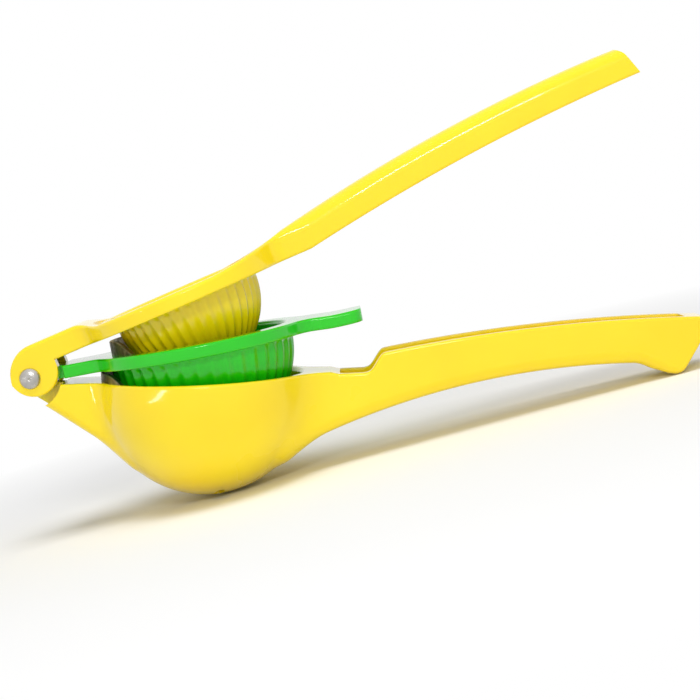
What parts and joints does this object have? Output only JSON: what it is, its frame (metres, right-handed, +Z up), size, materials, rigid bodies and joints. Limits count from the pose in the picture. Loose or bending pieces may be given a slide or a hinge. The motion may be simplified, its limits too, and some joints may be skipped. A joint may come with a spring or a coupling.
{
  "type": "hinged citrus squeezer",
  "caption": "Hand lever citrus squeezer: a drained cup arm, a fluted strainer insert and a domed press arm on one rivet.",
  "frame": {"origin": "middle of the bounding box's underside, on the table", "axes": "+X from the hinge to the handles' tips, +Y across along the rivet, +Z up"},
  "size_m": [0.2206, 0.0692, 0.106],
  "materials": {
    "yellow_enamel": "gloss enamel over cast aluminium",
    "green_enamel": "gloss enamel over cast aluminium",
    "rivet_metal": "polished",
    "bare_metal": "bare, mottled"
  },
  "bodies": {
    "cup": {"cup_arm": "yellow_enamel", "cup_guard": "bare_metal"},
    "insert": {"insert": "green_enamel", "insert_guard": "bare_metal"},
    "press": {"press_arm": "yellow_enamel", "hinge_pin": "rivet_metal", "pin_cap": "rivet_metal"}
  },
  "joints": [
    {"name": "insert_hinge", "type": "hinge", "parent": "cup", "child": "insert", "pos_m": [-0.10382, 0, 0.05308], "axis": [0, -1, 0], "range_deg": [-8.2, 81.8]},
    {"name": "press_hinge", "type": "hinge", "parent": "insert", "child": "press", "pos_m": [-0.10382, 0, 0.05308], "axis": [0, -1, 0], "range_deg": [-12.6, 77.4]}
  ]
}
